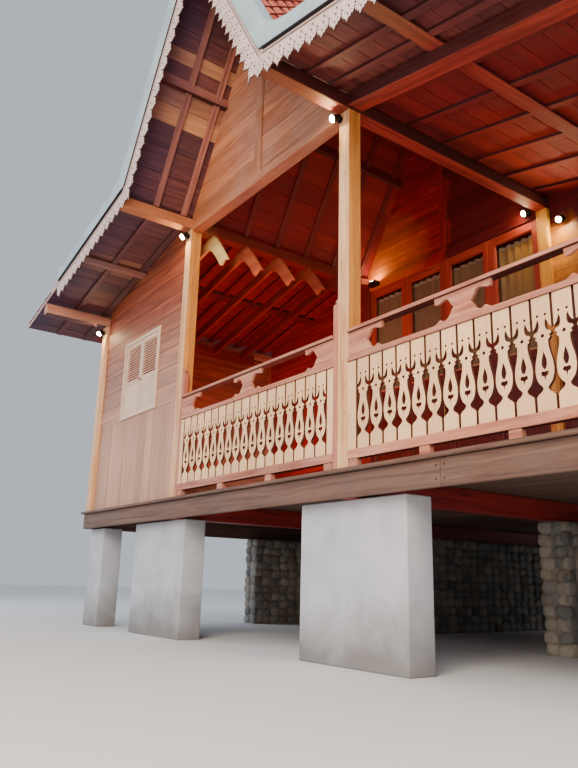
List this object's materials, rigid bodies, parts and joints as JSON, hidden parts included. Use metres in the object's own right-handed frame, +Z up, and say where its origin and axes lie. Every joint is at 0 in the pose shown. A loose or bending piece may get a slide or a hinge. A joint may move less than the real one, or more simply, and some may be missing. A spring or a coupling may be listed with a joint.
{
  "type": "raised timber veranda house",
  "caption": "Raised timber house with a steep gable over the middle bay, low skirt roofs over the sides, an open carved-balustrade veranda and louvred shutters on masonry piers.",
  "frame": {"origin": "centre of the outline on the ground, under the ridge", "axes": "+Z up, -Y out of the veranda front, +X to the right of someone facing the front"},
  "size_m": [9.18, 10.03, 7.333],
  "materials": {
    "timber": "weathered, satin",
    "pale_timber": "faded paint over timber",
    "dark_timber": "oiled, satin",
    "painted_timber": "old white paint, matt",
    "render": "whitewashed render, matt",
    "river_stone": "rough rubble",
    "roof_tile": "unglazed terracotta",
    "cement": "smooth cement render",
    "window_glass": "clear",
    "curtain_cloth": "woven, matt"
  },
  "bodies": {
    "root": {"floor_deck": "timber", "front_edge_board": "pale_timber", "rear_edge_board": "pale_timber", "left_floor_beam": "pale_timber", "right_floor_beam": "pale_timber", "left_middle_floor_beam": "dark_timber", "right_middle_floor_beam": "dark_timber", "left_corner_pier": "render", "right_corner_pier": "render", "left_middle_pier": "render", "right_middle_pier": "render", "left_base_wall": "river_stone", "right_base_wall": "river_stone", "left_middle_base_wall": "river_stone", "right_middle_base_wall": "river_stone", "left_corner_post": "pale_timber", "right_corner_post": "pale_timber", "left_front_post": "pale_timber", "right_front_post": "pale_timber", "left_inner_post": "timber", "right_inner_post": "timber", "left_outer_plate": "pale_timber", "right_outer_plate": "pale_timber", "left_middle_plate": "timber", "right_middle_plate": "timber", "front_tie_beam": "pale_timber", "inner_tie_beam": "dark_timber", "front_right_beam": "timber", "hooked_rafters": "timber", "left_steep_roof": "roof_tile", "right_steep_roof": "roof_tile", "left_skirt_roof": "roof_tile", "right_skirt_roof": "roof_tile", "ridge_cap": "cement", "front_coping": "cement", "rear_coping": "cement", "front_verge_board": "painted_timber", "rear_verge_board": "painted_timber", "left_front_wall": "timber", "left_inner_wall": "dark_timber", "right_inner_wall": "dark_timber", "left_side_wall": "timber", "right_side_wall": "timber", "rear_wall": "timber", "front_gable": "timber", "inner_gable": "dark_timber", "front_window": "timber", "left_window": "timber", "right_window": "timber", "rear_window": "timber", "veranda_doors": "dark_timber", "veranda_glass": "window_glass", "veranda_curtain": "curtain_cloth", "middle_balustrade": "pale_timber", "right_balustrade": "pale_timber", "right_side_balustrade": "pale_timber"}
  },
  "joints": []
}
